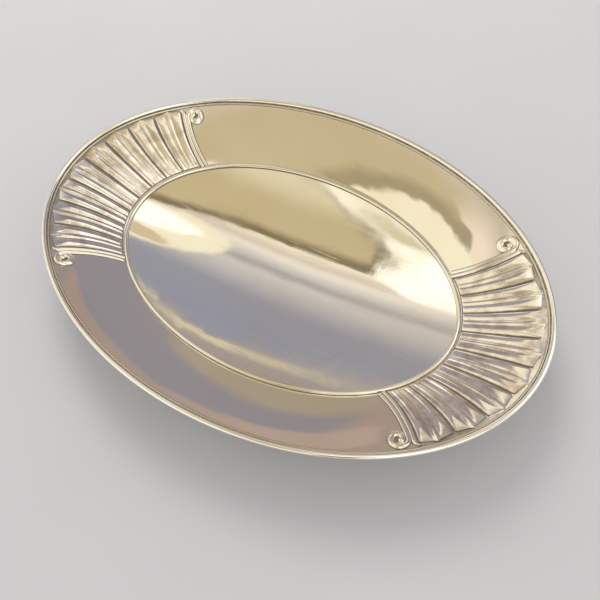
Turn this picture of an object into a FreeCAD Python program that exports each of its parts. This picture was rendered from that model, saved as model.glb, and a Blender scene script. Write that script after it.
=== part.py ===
"""A silver salver: a shallow oval dish on a low oval foot.

The dish is raised from one sheet: a bowl-shaped well inside a wide sloping border. A round wire and a fine
reed finish the rim, a half-round wire marks the edge of the well, and a fan of leaves between two scrolled
straps covers each end of the border. The foot is a flaring collar on a flat wire.

Millimetres. +X is the long axis, +Y the short axis and +Z up. The origin is the middle of the foot's base.
"""
import FreeCAD, Part
import math
import os

from FreeCAD import Vector

doc = FreeCAD.newDocument("salver")


# Driving dimensions

DIMENSIONS = [
    ("half_length", 160.0, "middle to the outer edge of the rim, along the long axis"),
    ("half_width", 111.0, "middle to the outer edge of the rim, along the short axis"),
    ("total_height", 40.0, "base of the foot to the top of the rim"),
    ("sheet", 1.2, "thickness of the dish, measured upright"),
    ("well_half_length", 111.6, "middle to the edge of the well, along the long axis"),
    ("well_half_width", 72.4, "middle to the edge of the well, along the short axis"),
    ("well_depth", 10.0, "edge of the well down to its middle"),
    ("border_rise", 19.8, "edge of the well up to the level of the rim"),
    ("border_crown", 1.0, "how far the border arches above a straight slope, at half its width"),
    ("rim_wire_radius", 1.4, "round wire on the outer edge"),
    ("reed_radius", 0.8, "fine reed just inside the rim wire"),
    ("reed_inset", 3.6, "outer edge of the rim to the middle of the reed"),
    ("well_wire_radius", 1.25, "half-round wire round the well"),
    ("well_wire_inset", 1.6, "edge of the well to the middle of its wire"),
    ("foot_half_length", 70.0, "middle to the outside of the foot wire, along the long axis"),
    ("foot_half_width", 46.0, "middle to the outside of the foot wire, along the short axis"),
    ("foot_wall", 1.4, "thickness of the foot collar"),
    ("foot_flare_width", 3.0, "how far the collar leans outwards on its way down"),
    ("foot_wire_width", 3.6, "flat wire that the foot stands on"),
    ("foot_wire_height", 2.0, "height of that wire"),
    ("foot_wire_rounding", 0.7, "rounding of its upper edges"),
    ("leaves", 8, "leaves in each fan, an even number"),
    ("fan_inner_angle", 34.5, "half the fan at the well, in degrees round the oval"),
    ("fan_outer_angle", 38.0, "half the fan at the rim, in degrees round the oval"),
    ("fan_crowding_ratio", 0.07, "how much closer the outer leaves stand than the middle ones"),
    ("fan_start", 0.5, "edge of the well to the inner end of the leaves"),
    ("leaf_tip_inset", 5.3, "outer edge of the rim to the tips of the leaves"),
    ("leaf_notch", 1.7, "depth of the notch between two tips"),
    ("leaf_bow", 2.2, "how far the outermost lines of the fan bow towards the long axis"),
    ("leaf_relief_inner", 0.8, "height of a leaf above the border, at the well"),
    ("leaf_relief_outer", 1.6, "height of a leaf above the border, at its tip"),
    ("leaf_groove", 0.3, "height of the grooves between the leaves above the border"),
    ("rib_radius", 1.4, "a strap is two half-round ribs side by side"),
    ("rib_spacing", 2.4, "middle of one rib to the middle of the other"),
    ("rib_end_radius", 0.95, "the outer rib at the inner end of its scroll"),
    ("flick_radius", 0.8, "the inner rib at its outer end"),
    ("strap_gap", 0.1, "side of the fan to the side of the strap"),
    ("volute_start_ratio", 0.86, "share of the strap's length at which its outer rib starts to turn"),
    ("volute_radius", 5.0, "middle of the scroll to the middle of its rib, where it starts"),
    ("volute_end_radius", 1.35, "middle of the scroll to the middle of its rib, at its inner end"),
    ("volute_turns", 1.35, "turns from the strap to the inner end"),
    ("eye_radius", 1.35, "round bead on the inner end of the scroll"),
]

sizes = doc.addObject("Spreadsheet::Sheet", "sizes")
for row, (alias, value, meaning) in enumerate(DIMENSIONS, start=1):
    sizes.set("A%d" % row, meaning)
    sizes.set("B%d" % row, str(value))
    sizes.setAlias("B%d" % row, alias)
doc.recompute()


def size(alias):
    """The number in the sheet, for the shapes that are worked out point by point."""
    return float(sizes.get(alias))


# Levels that several pieces share, as expressions on the sheet

RIM_LEVEL = "(sizes.total_height - sizes.rim_wire_radius)"
WELL_EDGE_LEVEL = "(%s - sizes.border_rise)" % RIM_LEVEL
WELL_FLOOR_LEVEL = "(%s - sizes.well_depth)" % WELL_EDGE_LEVEL


def border_level(share):
    """The level of the border's face at a share of its width, from the well's edge at 0 to the rim at 1."""
    return "(%s + %s * sizes.border_rise + 4 * %s * (1 - %s) * sizes.border_crown)" % (
        WELL_EDGE_LEVEL, share, share, share)


# Ovals, and the forms lofted through them

def oval(name, half_length, half_width, level):
    """A level ellipse; the three sizes are expressions on the sheet."""
    ellipse = doc.addObject("Part::Ellipse", name)
    ellipse.setExpression("MajorRadius", half_length)
    ellipse.setExpression("MinorRadius", half_width)
    ellipse.setExpression("Placement.Base.z", level)
    return ellipse


def loft(name, ovals):
    """A closed form through a row of level ellipses."""
    form = doc.addObject("Part::Loft", name)
    form.Sections = ovals
    form.Solid = True
    return form


def boolean(kind, name, base, tool):
    """A Part::Cut, Part::Common or Part::Fuse of two objects."""
    result = doc.addObject("Part::" + kind, name)
    result.Base = base
    result.Tool = tool
    return result


def upright_oval(name, half_length, half_width, level, height):
    """An upright block of oval plan, standing on the given level."""
    block = doc.addObject("Part::Extrusion", name)
    block.Base = oval(name + "_plan", half_length, half_width, level)
    block.DirMode = "Custom"
    block.Dir = Vector(0, 0, 1)
    block.Solid = True
    block.setExpression("LengthFwd", height)
    return block


# The border is a family of ellipses, from the well's edge at share 0 to the outer edge of the rim at share 1,
# and so is the well, from its middle to its edge. Both forms run past the well's edge, so that they cut each
# other cleanly there.

BORDER_SHARES = (-0.6, -0.2, 0.2, 0.6, 1.1)
WELL_SHARES = (0.02, 0.4, 0.8, 1.2)


def border_form(name, drop):
    """The space above the border, lowered by the expression drop."""
    ovals = []
    for number, share in enumerate(BORDER_SHARES):
        half_length = "sizes.well_half_length + %g * (sizes.half_length - sizes.well_half_length)" % share
        half_width = "sizes.well_half_width + %g * (sizes.half_width - sizes.well_half_width)" % share
        level = "%s - %s" % (border_level("(%g)" % share), drop)
        ovals.append(oval("%s_oval_%d" % (name, number), half_length, half_width, level))
    return loft(name, ovals)


def well_form(name, drop):
    """The space above the well, lowered by the expression drop. The well rises as the square of the way out.

    Above the last oval, which is wider than the border is there, the form is an upright block wider than the rim.
    """
    ovals = []
    for number, share in enumerate(WELL_SHARES):
        half_length = "%g * sizes.well_half_length" % share
        half_width = "%g * sizes.well_half_width" % share
        level = "%s + %g * sizes.well_depth - %s" % (WELL_FLOOR_LEVEL, share * share, drop)
        ovals.append(oval("%s_oval_%d" % (name, number), half_length, half_width, level))
    block = upright_oval(name + "_block", "1.5 * sizes.half_length", "1.5 * sizes.half_width", level,
                         "2 * sizes.border_rise")
    return boolean("Fuse", name, loft(name + "_bowl", ovals), block)


# Dish body: one raised sheet, the space above its underside less the space above its face, trimmed to an oval

above_face = boolean("Common", "above_face", border_form("border_face", "0"), well_form("well_face", "0"))
above_underside = boolean(
    "Common", "above_underside", border_form("border_underside", "sizes.sheet"),
    well_form("well_underside", "sizes.sheet"))
raised_sheet = boolean("Cut", "raised_sheet", above_underside, above_face)
trimming_line = upright_oval(
    "trimming_line", "sizes.half_length - sizes.rim_wire_radius", "sizes.half_width - sizes.rim_wire_radius",
    "0", "sizes.total_height")
trimmed_sheet = boolean("Common", "trimmed_sheet", raised_sheet, trimming_line)


# Wires: a round section carried round an ellipse

def wire_ring(name, half_length, half_width, level, radius, flats=0):
    """A wire whose middle follows a level ellipse. Its section stands upright and starts at its top.

    The section is a circle, or has the given number of narrow flats.
    """
    path = oval(name + "_path", half_length, half_width, level)
    if flats:
        section = doc.addObject("Part::RegularPolygon", name + "_section")
        section.Polygon = int(flats)
        section.setExpression("Circumradius", radius)
    else:
        section = doc.addObject("Part::Circle", name + "_section")
        section.setExpression("Radius", radius)
    section.Placement.Rotation = FreeCAD.Rotation(Vector(1, 0, 0), 90) * FreeCAD.Rotation(Vector(0, 0, 1), 90)
    section.setExpression("Placement.Base.x", half_length)
    section.setExpression("Placement.Base.z", level)
    ring = doc.addObject("Part::Sweep", name)
    ring.Sections = [section]
    ring.Spine = (path, ["Edge1"])
    ring.Solid = True
    ring.Frenet = True
    return ring


# The sheet ends at the middle of the rim wire, and its edge is hollowed to fit the wire
rim_wire = wire_ring(
    "rim_wire", "sizes.half_length - sizes.rim_wire_radius", "sizes.half_width - sizes.rim_wire_radius",
    RIM_LEVEL, "sizes.rim_wire_radius")
dish_body = boolean("Cut", "dish_body", trimmed_sheet, rim_wire)

BORDER_WIDTHS = "(sizes.half_length - sizes.well_half_length + sizes.half_width - sizes.well_half_width)"
REED_FLATS = 10
REED_SHARE = "(1 - 2 * sizes.reed_inset / %s)" % BORDER_WIDTHS
reed_ring = wire_ring(
    "reed_ring", "sizes.half_length - sizes.reed_inset", "sizes.half_width - sizes.reed_inset",
    border_level(REED_SHARE), "sizes.reed_radius", REED_FLATS)
rim_reed = boolean("Common", "rim_reed", reed_ring, above_face)

well_ring = wire_ring(
    "well_ring", "sizes.well_half_length - sizes.well_wire_inset", "sizes.well_half_width - sizes.well_wire_inset",
    WELL_EDGE_LEVEL, "sizes.well_wire_radius")
well_wire = boolean("Common", "well_wire", well_ring, above_face)


# Foot: a collar that flares down from the underside of the well, standing on a flat wire

COLLAR_BASE_INSET = "(sizes.foot_wire_width - sizes.foot_wall) / 2"


def collar_form(name, inset):
    """An oval form that narrows upwards; inset is measured from the outside of the collar."""
    ovals = []
    for number, (lean, level) in enumerate([("0", "sizes.foot_wire_height"),
                                            ("0.75 * sizes.foot_flare_width", "0.5 * " + WELL_EDGE_LEVEL),
                                            ("sizes.foot_flare_width", WELL_EDGE_LEVEL)]):
        half_length = "sizes.foot_half_length - %s - %s - %s" % (COLLAR_BASE_INSET, lean, inset)
        half_width = "sizes.foot_half_width - %s - %s - %s" % (COLLAR_BASE_INSET, lean, inset)
        ovals.append(oval("%s_oval_%d" % (name, number), half_length, half_width, level))
    return loft(name, ovals)


collar_wall = boolean("Cut", "collar_wall", collar_form("collar_outside", "0"),
                      collar_form("collar_inside", "sizes.foot_wall"))
foot_collar = boolean("Cut", "foot_collar", collar_wall, above_underside)

foot_wire_blank = boolean(
    "Cut", "foot_wire_blank",
    upright_oval("foot_wire_outside", "sizes.foot_half_length", "sizes.foot_half_width", "0",
                 "sizes.foot_wire_height"),
    upright_oval("foot_wire_inside", "sizes.foot_half_length - sizes.foot_wire_width",
                 "sizes.foot_half_width - sizes.foot_wire_width", "0", "sizes.foot_wire_height"))
doc.recompute()

foot_wire = doc.addObject("Part::Fillet", "foot_wire")
foot_wire.Base = foot_wire_blank
upper_edges = [number for number, edge in enumerate(foot_wire_blank.Shape.Edges, start=1)
               if edge.BoundBox.ZMin > size("foot_wire_height") / 2]
foot_wire.Edges = [(number, size("foot_wire_rounding"), size("foot_wire_rounding")) for number in upper_edges]


# Points on the border, in plan and in height

class Border:
    """The border's face as numbers, for the ornament that is laid on it."""

    def __init__(self):
        self.inner = (size("well_half_length"), size("well_half_width"))
        self.outer = (size("half_length"), size("half_width"))
        self.rim_level = size("total_height") - size("rim_wire_radius")

    def half_sizes(self, share):
        """The half length and half width of the border's ellipse at a share of its width."""
        return [inner + share * (outer - inner) for inner, outer in zip(self.inner, self.outer)]

    def share_at(self, x, y):
        """The share of the border's width at which a point in plan lies, by Newton's method."""
        share = 0.5
        for _ in range(12):
            half_length, half_width = self.half_sizes(share)
            excess = (x / half_length) ** 2 + (y / half_width) ** 2 - 1
            slope = -2 * ((x / half_length) ** 2 * (self.outer[0] - self.inner[0]) / half_length
                          + (y / half_width) ** 2 * (self.outer[1] - self.inner[1]) / half_width)
            share -= excess / slope
        return share

    def height_at(self, x, y):
        share = self.share_at(x, y)
        return (self.rim_level - size("border_rise") * (1 - share)
                + size("border_crown") * 4 * share * (1 - share))


border = Border()


# Fan: leaves side by side, each of two rounded halves that meet in a crease along its middle

HALF_FAN = size("leaves") / 2
ALONG_STEPS = 6
ROOT_DEPTH = 2 * size("sheet")
# Shares of a half leaf from its groove to its crease, with the height of the rounding over each
ROUNDING = ((0.0, 0.0), (0.08, 0.55), (0.25, 0.86), (0.55, 1.0), (0.8, 0.93), (1.0, 0.72))


def fan_angle(line, half_angle):
    """Where a line of the fan meets an oval, in radians round it. Lines count leaves from the long axis."""
    share = line / HALF_FAN
    crowding = size("fan_crowding_ratio") * (1 - abs(share))
    return math.radians(half_angle * share * (1 + crowding))


def fan_plan(line, along):
    """A point of a groove or crease in plan; along runs from 0 at the well to 1 at the rim."""
    is_groove = line == int(line)
    inset = size("leaf_tip_inset") + (size("leaf_notch") if is_groove else 0)
    inner_angle = fan_angle(line, size("fan_inner_angle"))
    outer_angle = fan_angle(line, size("fan_outer_angle"))
    start = Vector((border.inner[0] + size("fan_start")) * math.cos(inner_angle),
                   (border.inner[1] + size("fan_start")) * math.sin(inner_angle), 0)
    end = Vector((border.outer[0] - inset) * math.cos(outer_angle),
                 (border.outer[1] - inset) * math.sin(outer_angle), 0)
    bow = size("leaf_bow") * line / HALF_FAN * 4 * along * (1 - along)
    towards_axis = (end - start).cross(Vector(0, 0, 1)).normalize()
    return start + (end - start) * along + towards_axis * bow


def on_border(point, height):
    """A plan point, raised to the given height above the border's face."""
    return Vector(point.x, point.y, border.height_at(point.x, point.y) + height)


def leaf_point(groove, crease, across, rounding, along):
    """A point of a half leaf's face, or of its root where rounding is None."""
    plan = fan_plan(groove, along) * (1 - across) + fan_plan(crease, along) * across
    if rounding is None:
        return on_border(plan, -ROOT_DEPTH)
    crest = size("leaf_relief_inner") + (size("leaf_relief_outer") - size("leaf_relief_inner")) * along
    return on_border(plan, size("leaf_groove") + (crest - size("leaf_groove")) * rounding)


def smooth_edge(points):
    curve = Part.BSplineCurve()
    curve.interpolate(points)
    return curve.toShape()


def leaf_edge(groove, crease, across, rounding):
    """A line of a half leaf from the well to the rim."""
    return smooth_edge([leaf_point(groove, crease, across, rounding, step / ALONG_STEPS)
                        for step in range(ALONG_STEPS + 1)])


def half_leaf_faces(groove, crease):
    """The rounded face, the root and the two ends of half a leaf."""
    lines = [leaf_edge(groove, crease, across, rounding) for across, rounding in ROUNDING]
    root = [leaf_edge(groove, crease, across, None) for across in (0, 1)]
    faces = [Part.makeRuledSurface(one, other) for one, other in zip(lines, lines[1:])]
    faces.append(Part.makeRuledSurface(root[0], root[1]))
    for along in (0, 1):
        outline = [leaf_point(groove, crease, across, rounding, along) for across, rounding in ROUNDING]
        outline += [leaf_point(groove, crease, across, None, along) for across in (1, 0)]
        faces.append(Part.Face(Part.makePolygon(outline + outline[:1])))
    if abs(groove) == HALF_FAN:
        faces.append(Part.makeRuledSurface(lines[0], root[0]))
    return faces


def fan_relief():
    """The closed form of a fan, with its root below the border's face."""
    faces = []
    for leaf in range(int(size("leaves"))):
        near_groove = leaf - HALF_FAN
        crease = near_groove + 0.5
        faces += half_leaf_faces(near_groove, crease)
        faces += half_leaf_faces(near_groove + 1, crease)
    shell = Part.makeShell(faces)
    shell.sewShape()
    return Part.makeSolid(shell)


def shaped(name, shape):
    feature = doc.addObject("Part::Feature", name)
    feature.Shape = shape
    return feature


fan_right = boolean("Common", "fan_right", shaped("fan_relief", fan_relief()), above_face)


def mirrored(name, source, normal):
    """A copy of an object, mirrored in the plane through the origin with this normal."""
    copy = doc.addObject("Part::Mirroring", name)
    copy.Source = source
    copy.Normal = normal
    return copy


mirrored("fan_left", fan_right, Vector(1, 0, 0))


# Scrolled straps: two half-round ribs along each side of a fan. The outer rib winds up into a scroll that ends in
# a bead, its eye, and the inner one runs on into a short flick.

STRAP_STEPS = 8
VOLUTE_STEPS = 16
STRAP_FOOT = 0.03


def strap_frame(along):
    """A point of the fan's side in plan, with the directions along it and away from the fan."""
    point = fan_plan(HALF_FAN, along)
    ahead = (fan_plan(HALF_FAN, along + 0.01) - fan_plan(HALF_FAN, along - 0.01)).normalize()
    return point, ahead, Vector(-ahead.y, ahead.x, 0)


def strap_plan(offset, end):
    """Points along the strap in plan, at a distance from the fan's side. They start under the well wire."""
    points = []
    for step in range(STRAP_STEPS + 1):
        point, _, outward = strap_frame(-STRAP_FOOT + (end + STRAP_FOOT) * step / STRAP_STEPS)
        points.append(point + outward * offset)
    return points


def rib_section(radius, point, ahead):
    """A circle across a rib, which starts at its top."""
    circle = Part.makeCircle(radius)
    upright = FreeCAD.Rotation(Vector(0, 0, 1), Vector(), ahead, "ZXY")
    circle.Placement = FreeCAD.Placement(point, upright)
    return Part.Wire(circle)


def rib(plan, start_radius, end_radius):
    """A round rib whose middle lies on the border's face, over points in plan."""
    points = [on_border(point, 0) for point in plan]
    sections = [rib_section(start_radius, points[0], points[1] - points[0]),
                rib_section(end_radius, points[-1], points[-1] - points[-2])]
    return Part.Wire(smooth_edge(points)).makePipeShell(sections, True, False)


def strap_blank():
    """The two ribs and the eye, still round underneath."""
    inner_offset = size("strap_gap") + size("rib_radius")
    outer_offset = inner_offset + size("rib_spacing")
    inner_rib = rib(strap_plan(inner_offset, 1), size("rib_radius"), size("flick_radius"))
    outer_plan = strap_plan(outer_offset, size("volute_start_ratio"))
    _, _, outward = strap_frame(size("volute_start_ratio"))
    middle = outer_plan[-1] + outward * size("volute_radius")
    for step in range(1, VOLUTE_STEPS + 1):
        share = step / VOLUTE_STEPS
        turn = FreeCAD.Rotation(Vector(0, 0, 1), 360 * size("volute_turns") * share)
        radius = size("volute_radius") + (size("volute_end_radius") - size("volute_radius")) * share
        outer_plan.append(middle - turn.multVec(outward) * radius)
    outer_rib = rib(outer_plan, size("rib_radius"), size("rib_end_radius"))
    eye = Part.makeSphere(size("eye_radius"), on_border(outer_plan[-1], 0))
    return outer_rib.fuse([inner_rib, eye])


strap_above_border = boolean("Common", "strap_above_border", shaped("strap_blank", strap_blank()), above_face)
scroll_right_back = boolean("Cut", "scroll_right_back", strap_above_border, well_ring)
scroll_right_front = mirrored("scroll_right_front", scroll_right_back, Vector(0, 1, 0))
mirrored("scroll_left_back", scroll_right_back, Vector(1, 0, 0))
mirrored("scroll_left_front", scroll_right_front, Vector(1, 0, 0))


# Sub-parts: each is checked, then written to a file of its own name

NODES = [
    "dish_body", "rim_wire", "rim_reed", "well_wire",
    "fan_left", "fan_right",
    "scroll_left_back", "scroll_left_front", "scroll_right_back", "scroll_right_front",
    "foot_collar", "foot_wire",
]

doc.recompute()
for thing in doc.Objects:
    if "Invalid" in thing.State or "Error" in thing.State:
        raise RuntimeError("%s did not build: %s" % (thing.Name, thing.State))

os.makedirs("parts", exist_ok=True)
for node in NODES:
    sub_part = doc.getObject(node)
    sub_part.Label = node
    if sub_part.Shape.isNull() or not sub_part.Shape.isValid() or not sub_part.Shape.Solids:
        raise RuntimeError("%s has no valid solid" % node)
    print("%-20s %8.1f mm3 in %d solid(s)" % (node, sub_part.Shape.Volume, len(sub_part.Shape.Solids)))
    sub_part.Shape.exportStep("parts/%s.step" % node)
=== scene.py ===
"""A silver salver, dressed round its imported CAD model.

Every piece is drawn in millimetres, with +X along the dish and +Z up, and is scaled to metres as it is finished.
"""
import math

import bmesh
import bpy
from mathutils import Matrix, Vector


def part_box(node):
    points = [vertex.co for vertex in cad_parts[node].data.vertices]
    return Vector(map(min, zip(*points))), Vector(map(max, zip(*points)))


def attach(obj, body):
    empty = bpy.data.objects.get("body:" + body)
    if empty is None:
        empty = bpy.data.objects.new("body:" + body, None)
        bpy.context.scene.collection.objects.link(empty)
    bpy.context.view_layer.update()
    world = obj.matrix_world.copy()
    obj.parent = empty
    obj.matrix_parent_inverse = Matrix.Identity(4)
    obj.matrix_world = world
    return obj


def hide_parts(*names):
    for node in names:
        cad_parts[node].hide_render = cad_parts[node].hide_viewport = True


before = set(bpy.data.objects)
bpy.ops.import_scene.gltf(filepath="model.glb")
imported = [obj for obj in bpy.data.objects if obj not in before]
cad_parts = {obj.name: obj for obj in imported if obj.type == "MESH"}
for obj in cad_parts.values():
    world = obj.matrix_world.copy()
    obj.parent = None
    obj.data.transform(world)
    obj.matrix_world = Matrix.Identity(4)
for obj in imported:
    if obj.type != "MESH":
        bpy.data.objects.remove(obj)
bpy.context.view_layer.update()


# Dish body. One sheet of sterling silver, hammered up into an oval bowl inside a wide sloping border, then
# planished smooth and polished by hand. Its edge is let into the rim wire.

MILLIMETRE = 0.001


def box_mm(node):
    """The lowest and highest corner of a CAD node, in millimetres."""
    return [[round(value / MILLIMETRE, 1) for value in corner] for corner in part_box(node)]


rim_low, rim_high = box_mm("rim_wire")
HALF_LENGTH, HALF_WIDTH, TOTAL_HEIGHT = rim_high
RIM_WIRE_RADIUS = (rim_high[2] - rim_low[2]) / 2
RIM_LEVEL = TOTAL_HEIGHT - RIM_WIRE_RADIUS
WELL_HALF_LENGTH = 111.6
WELL_HALF_WIDTH = 72.4
WELL_DEPTH = 10.0
BORDER_RISE = 19.8
BORDER_CROWN = 1.0
SHEET = 1.2
WELL_EDGE_LEVEL = RIM_LEVEL - BORDER_RISE
OVAL_FACETS = 384


def well_oval(share):
    """Half length, half width and height of the well's face at a share of the way out."""
    return share * WELL_HALF_LENGTH, share * WELL_HALF_WIDTH, WELL_EDGE_LEVEL - WELL_DEPTH * (1 - share ** 2)


def border_oval(share):
    """The same for the border's face, from the well's edge at 0 to the outside of the rim at 1."""
    return (WELL_HALF_LENGTH + share * (HALF_LENGTH - WELL_HALF_LENGTH),
            WELL_HALF_WIDTH + share * (HALF_WIDTH - WELL_HALF_WIDTH),
            WELL_EDGE_LEVEL + BORDER_RISE * share + BORDER_CROWN * 4 * share * (1 - share))


def drawn_on(bm, edges):
    """Draws a loop of edges on from itself, and gives the points and edges of the new loop."""
    drawn = bmesh.ops.extrude_edge_only(bm, edges=edges)["geom"]
    return ([part for part in drawn if isinstance(part, bmesh.types.BMVert)],
            [part for part in drawn if isinstance(part, bmesh.types.BMEdge)])


def oval_skin(ovals, poles=False):
    """A skin through level ovals, each (half length, half width, height, tarnish and painted shade there, from 0 to
    1).

    It is closed at both poles, or from the last oval round to the first.
    """
    bm = bmesh.new()
    hollow = bm.verts.layers.float.new("hollow")
    ring = bmesh.ops.create_circle(bm, segments=OVAL_FACETS, radius=1, cap_ends=poles, cap_tris=poles)["verts"]
    edges = [edge for edge in bm.edges if not edge.link_faces or edge.is_boundary]
    length, width, level = 1.0, 1.0, 0.0
    for index, (next_length, next_width, next_level, depth) in enumerate(ovals):
        if index:
            ring, edges = drawn_on(bm, edges)
        bmesh.ops.scale(bm, vec=(next_length / length, next_width / width, 1), verts=ring)
        bmesh.ops.translate(bm, vec=(0, 0, next_level - level), verts=ring)
        for vert in ring:
            vert[hollow] = depth
        length, width, level = next_length, next_width, next_level
    if poles:
        bmesh.ops.pointmerge(bm, verts=ring, merge_co=(0, 0, level))
    else:
        bmesh.ops.bridge_loops(bm, edges=[edge for edge in bm.edges if edge.is_boundary])
    bmesh.ops.recalc_face_normals(bm, faces=bm.faces)
    return bm


class Amount:
    """A node's output. Sums on it add Math nodes to its finish."""

    def __init__(self, finish, socket):
        self.finish, self.socket = finish, socket

    def maths(self, operation, first, second):
        return self.finish.node("ShaderNodeMath", {"operation": operation}, {0: first, 1: second})

    def __add__(self, other):
        return self.maths("ADD", self, other)

    def __sub__(self, other):
        return self.maths("SUBTRACT", self, other)

    def __rsub__(self, other):
        return self.maths("SUBTRACT", other, self)

    def __mul__(self, other):
        return self.maths("MULTIPLY", self, other)

    __radd__ = __add__
    __rmul__ = __mul__


class Finish:
    """A surface finish, or the room's light, made up node by node."""

    def __init__(self, owner):
        owner.use_nodes = True
        self.tree = owner.node_tree
        self.tree.nodes.clear()

    def node(self, kind, settings, sockets, output=0):
        """Adds a node, its settings before the values or links of its sockets, and gives one of its outputs."""
        node = self.tree.nodes.new(kind)
        for name, value in settings.items():
            if name == "stops":
                while len(node.color_ramp.elements) < len(value):
                    node.color_ramp.elements.new(0.5)
                for element, (place, colour) in zip(node.color_ramp.elements, value):
                    element.position = place
                    element.color = (*colour, 1)
            else:
                setattr(node, name, value)
        for name, value in sockets.items():
            if isinstance(value, Amount):
                self.tree.links.new(value.socket, node.inputs[name])
            else:
                node.inputs[name].default_value = value
        return Amount(self, node.outputs[output]) if node.outputs else None

    def cloud(self, scale, detail, stretch=(1, 1, 1), turn=0.0):
        """Soft noise over the piece, from 0 to 1, about as fine as 1 / scale in metres."""
        place = self.node("ShaderNodeTexCoord", {}, {}, "Object")
        place = self.node("ShaderNodeMapping", {}, {
            "Vector": place, "Rotation": (0, 0, turn), "Scale": stretch})
        return self.node("ShaderNodeTexNoise", {}, {
            "Vector": place, "Scale": scale, "Detail": detail, "Roughness": 0.5})

    def band(self, amount, low, high):
        """0 below low and 1 above high, with a soft step between."""
        return self.node("ShaderNodeMapRange", {"interpolation_type": "SMOOTHSTEP"}, {
            "Value": amount, "From Min": low, "From Max": high})

    def blend(self, share, first, second):
        """A mix of two colours."""
        return self.node("ShaderNodeMix", {"data_type": "RGBA"}, {0: share, 6: first, 7: second}, 2)


TARNISH_AND_SHADE_COLOUR = (0.18, 0.145, 0.105)
TARNISH_AND_SHADE_COVER, TARNISH_AND_SHADE_ROUGHNESS = 0.92, 0.45
BREATH_COVER, BREATH_ROUGHNESS = 0.30, 0.022
HANDLED_ROUGHNESS = 0.015

# Each set of hair scratches lies at its own angle, in radians, and has its own fineness
HAIR_SCRATCHES = ((0.4, 26.0), (1.5, 19.0), (2.5, 23.0))
SCRATCH_DEPTH, SCRATCH_ROUGHNESS = 0.0016 * MILLIMETRE, 0.035
GRAIN_DEPTH = 0.0012 * MILLIMETRE


def silver(name, bright, tarnish, polish, planish, wear, patches=17.0):
    """Polished silver. The bright and the tarnished colour, how rough the polish is, how far the hammer marks
    still show, in millimetres, how worn the surface is, and how fine the patches of tarnish are."""
    material = bpy.data.materials.new(name)
    finish = Finish(material)
    hollow = finish.node("ShaderNodeAttribute", {"attribute_name": "hollow"}, {}, "Fac")

    # Hair scratches from wiping, thinned out where the piece is less handled
    scratches = 0.0
    for turn, fineness in HAIR_SCRATCHES:
        lines = finish.cloud(scale=fineness, detail=2.0, stretch=(1.0, 70.0, 1.0), turn=turn)
        scratches = finish.band(lines, 0.64, 0.74) + scratches
    handled = finish.band(finish.cloud(scale=31.0, detail=3.0), 0.42, 0.68)
    scratches = scratches * (handled * 0.7 + 0.3)

    # Black tarnish and painted shade lie in the hollows and wherever the attribute marks them, with a breath of yellow
    # left in patches over the open face
    smoke = finish.cloud(scale=210.0, detail=4.0)
    breath = finish.band(finish.cloud(scale=patches, detail=4.0), 0.42, 0.66)
    tarnish_shade = finish.band(hollow * 1.2 + smoke * 0.5 - 0.25, 0.25, 0.90)
    colour = finish.blend(breath * (BREATH_COVER * wear), (*bright, 1), (*tarnish, 1))
    colour = finish.blend(tarnish_shade * TARNISH_AND_SHADE_COVER, colour, (*TARNISH_AND_SHADE_COLOUR, 1))
    roughness = (polish + scratches * (SCRATCH_ROUGHNESS * wear) + breath * (BREATH_ROUGHNESS * wear)
                 + handled * (HANDLED_ROUGHNESS * wear) + tarnish_shade * TARNISH_AND_SHADE_ROUGHNESS)

    # Planishing leaves the face very slightly wavy, and the scratches cut into it
    broad, close = finish.cloud(scale=38.0, detail=1.0), finish.cloud(scale=95.0, detail=1.0)
    waves = broad * (planish * MILLIMETRE) + close * (0.22 * planish * MILLIMETRE)
    grain = finish.cloud(scale=900.0, detail=3.0) * GRAIN_DEPTH
    height = waves - scratches * (SCRATCH_DEPTH * wear) + grain
    normal = finish.node("ShaderNodeBump", {}, {"Height": height, "Distance": 1.0, "Strength": 1.0})
    shader = finish.node("ShaderNodeBsdfPrincipled", {}, {
        "Metallic": 1 - tarnish_shade * tarnish_shade * 0.75, "Base Color": colour, "Roughness": roughness, "Normal": normal})
    finish.node("ShaderNodeOutputMaterial", {}, {"Surface": shader})
    return material


def finished(bm, name, material, crease=35):
    """Makes a piece of a bmesh drawn in millimetres. Edges sharper than the crease angle stay sharp."""
    for edge in bm.edges:
        edge.smooth = edge.calc_face_angle(0) < math.radians(crease)
    for face in bm.faces:
        face.smooth = True
    bmesh.ops.scale(bm, vec=(MILLIMETRE, MILLIMETRE, MILLIMETRE), verts=bm.verts)
    mesh = bpy.data.meshes.new(name)
    bm.to_mesh(mesh)
    bm.free()
    mesh.materials.append(material)
    piece = bpy.data.objects.new(name, mesh)
    bpy.context.scene.collection.objects.link(piece)
    return piece


def ramp(value, low, high):
    """0 below low and 1 above high, with a straight rise between."""
    return min(1.0, max(0.0, (value - low) / (high - low)))


WELL_STEPS = 34
BORDER_STEPS = 34
EDGE_SHARE = 0.966
WELL_EDGE_TARNISH_AND_SHADE = 0.55
BORDER_START_TARNISH_AND_SHADE = 0.45
CHANNEL_TARNISH_AND_SHADE = 0.5
CHANNEL_START, CHANNEL_END = 0.895, 0.93
UNDERSIDE_DARKENING = 0.25

# The face from the middle out, and back along the underside. The last number of each oval is its tarnish and painted
# shade, which is most beside the two wires; the underside is darkened a little all over.
face = [(*well_oval(step / WELL_STEPS), WELL_EDGE_TARNISH_AND_SHADE * max(0.0, 1 - (WELL_STEPS - step) / 1.4) ** 2)
        for step in range(1, WELL_STEPS)]
for step in range(BORDER_STEPS + 1):
    share = EDGE_SHARE * step / BORDER_STEPS
    in_channel = CHANNEL_TARNISH_AND_SHADE * ramp(share, CHANNEL_START, CHANNEL_END)
    face.append((*border_oval(share), in_channel if step else BORDER_START_TARNISH_AND_SHADE))
underside = [(length, width, level - SHEET, UNDERSIDE_DARKENING) for length, width, level, _ in reversed(face)]
dish = oval_skin(face + underside, poles=True)
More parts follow.
